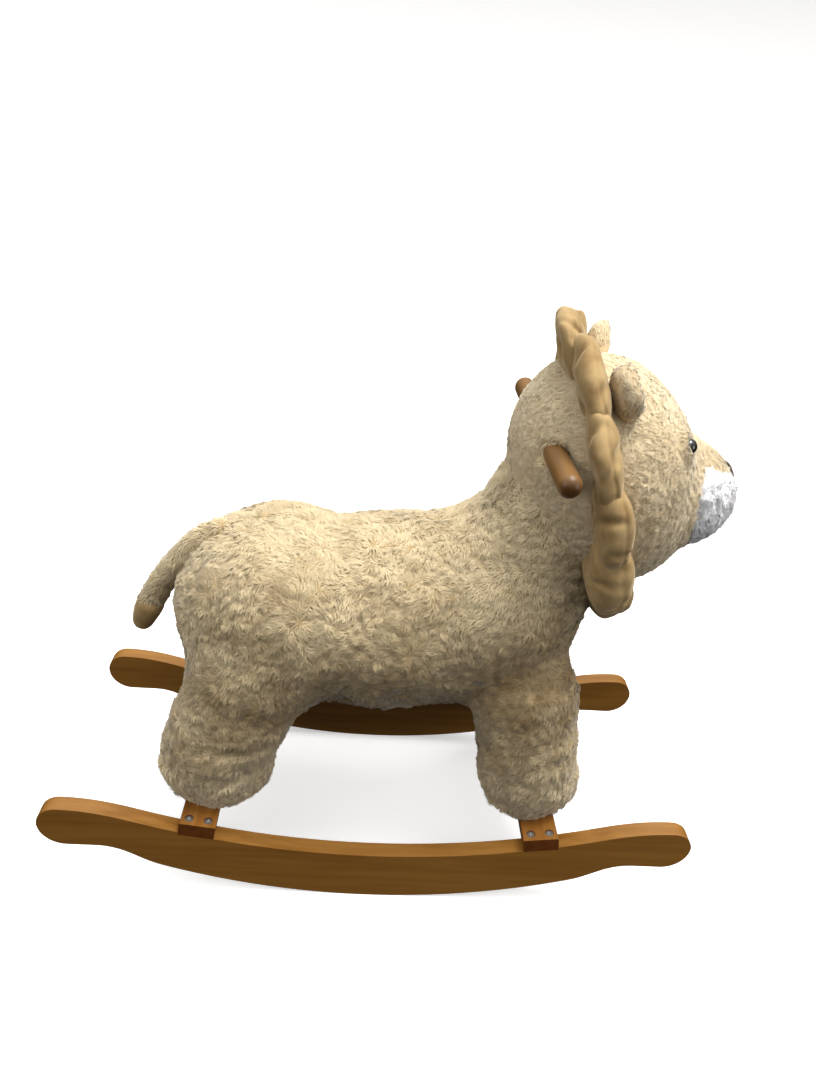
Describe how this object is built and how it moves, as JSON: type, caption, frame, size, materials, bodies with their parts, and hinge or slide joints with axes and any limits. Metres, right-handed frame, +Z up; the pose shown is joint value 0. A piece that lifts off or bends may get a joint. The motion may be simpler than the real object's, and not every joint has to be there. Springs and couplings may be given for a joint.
{
  "type": "plush ride-on rocking animal",
  "caption": "Stuffed plush lion with a petal mane on two curved wooden rockers, with a wooden handle bar through its head for a small child to ride.",
  "frame": {"origin": "on the floor, midway between the rockers, under the middle of their running edges", "axes": "+X forward, the way the animal faces; +Y to its left, across the rockers; +Z up"},
  "size_m": [0.7, 0.278, 0.6308],
  "materials": {
    "rocker_wood": "honey varnished board, satin",
    "crossbar_wood": "honey varnished board, darker end grain",
    "frame_wood": "sawn softwood",
    "plywood": "raw plywood",
    "handle_wood": "varnished dowel, satin",
    "steel": "zinc plated",
    "foam": "open cell foam",
    "body_plush": "long pile plush with matted locks",
    "head_plush": "short pile plush",
    "white_plush": "white curly plush",
    "tan_velboa": "smooth short velboa",
    "ear_plush": "short pile plush, brown lining",
    "brown_thread": "satin stitch embroidery",
    "black_plastic": "polished black",
    "washer_plastic": "natural nylon"
  },
  "bodies": {
    "rocker_frame": {"board_screws": "steel", "bracket_screws": "steel", "crossbar_front": "crossbar_wood", "crossbar_rear": "crossbar_wood", "eye_left": "black_plastic", "eye_right": "black_plastic", "eye_washers": "washer_plastic", "handle_bar": "handle_wood", "handle_screw": "steel", "head": "head_plush", "insert_nuts": "steel", "leg_bolts": "steel", "leg_front_left": "body_plush", "leg_front_right": "body_plush", "leg_post_front_left": "frame_wood", "leg_post_front_right": "frame_wood", "leg_post_rear_left": "frame_wood", "leg_post_rear_right": "frame_wood", "leg_rear_left": "body_plush", "leg_rear_right": "body_plush", "leg_washers": "steel", "mane_petal_01": "tan_velboa", "mane_petal_02": "tan_velboa", "mane_petal_03": "tan_velboa", "mane_petal_04": "tan_velboa", "mane_petal_05": "tan_velboa", "mane_petal_06": "tan_velboa", "mane_petal_07": "tan_velboa", "mane_petal_08": "tan_velboa", "mane_petal_09": "tan_velboa", "mane_petal_10": "tan_velboa", "mane_petal_11": "tan_velboa", "mane_petal_12": "tan_velboa", "mouth_stitches": "brown_thread", "muzzle": "white_plush", "neck": "body_plush", "neck_brackets": "steel", "neck_gusset": "plywood", "neck_post": "frame_wood", "nose": "brown_thread", "rocker_left": "rocker_wood", "rocker_right": "rocker_wood", "rocker_screws": "steel", "seat_board": "plywood", "seat_foam": "foam", "snout_bridge": "head_plush", "torso": "body_plush"},
    "ear_right": {"ear_right": "ear_plush"},
    "ear_left": {"ear_left": "ear_plush"},
    "tail": {"tail": "body_plush", "tail_tip": "tan_velboa"}
  },
  "joints": [
    {"name": "tail_lift", "type": "hinge", "parent": "rocker_frame", "child": "tail", "pos_m": [-0.177, 0, 0.382], "axis": [0, 1, 0], "range_deg": [0, 75]},
    {"name": "ear_right_fold", "type": "hinge", "parent": "rocker_frame", "child": "ear_right", "pos_m": [0.19524, -0.06794, 0.5751], "axis": [-0.1635, 0.829, 0.5348], "range_deg": [-6, 40], "stiffness_Nm_per_rad": 0.03},
    {"name": "ear_left_fold", "type": "hinge", "parent": "rocker_frame", "child": "ear_left", "pos_m": [0.19524, 0.06794, 0.5751], "axis": [0.1635, 0.829, -0.5348], "range_deg": [-6, 40], "stiffness_Nm_per_rad": 0.03}
  ]
}
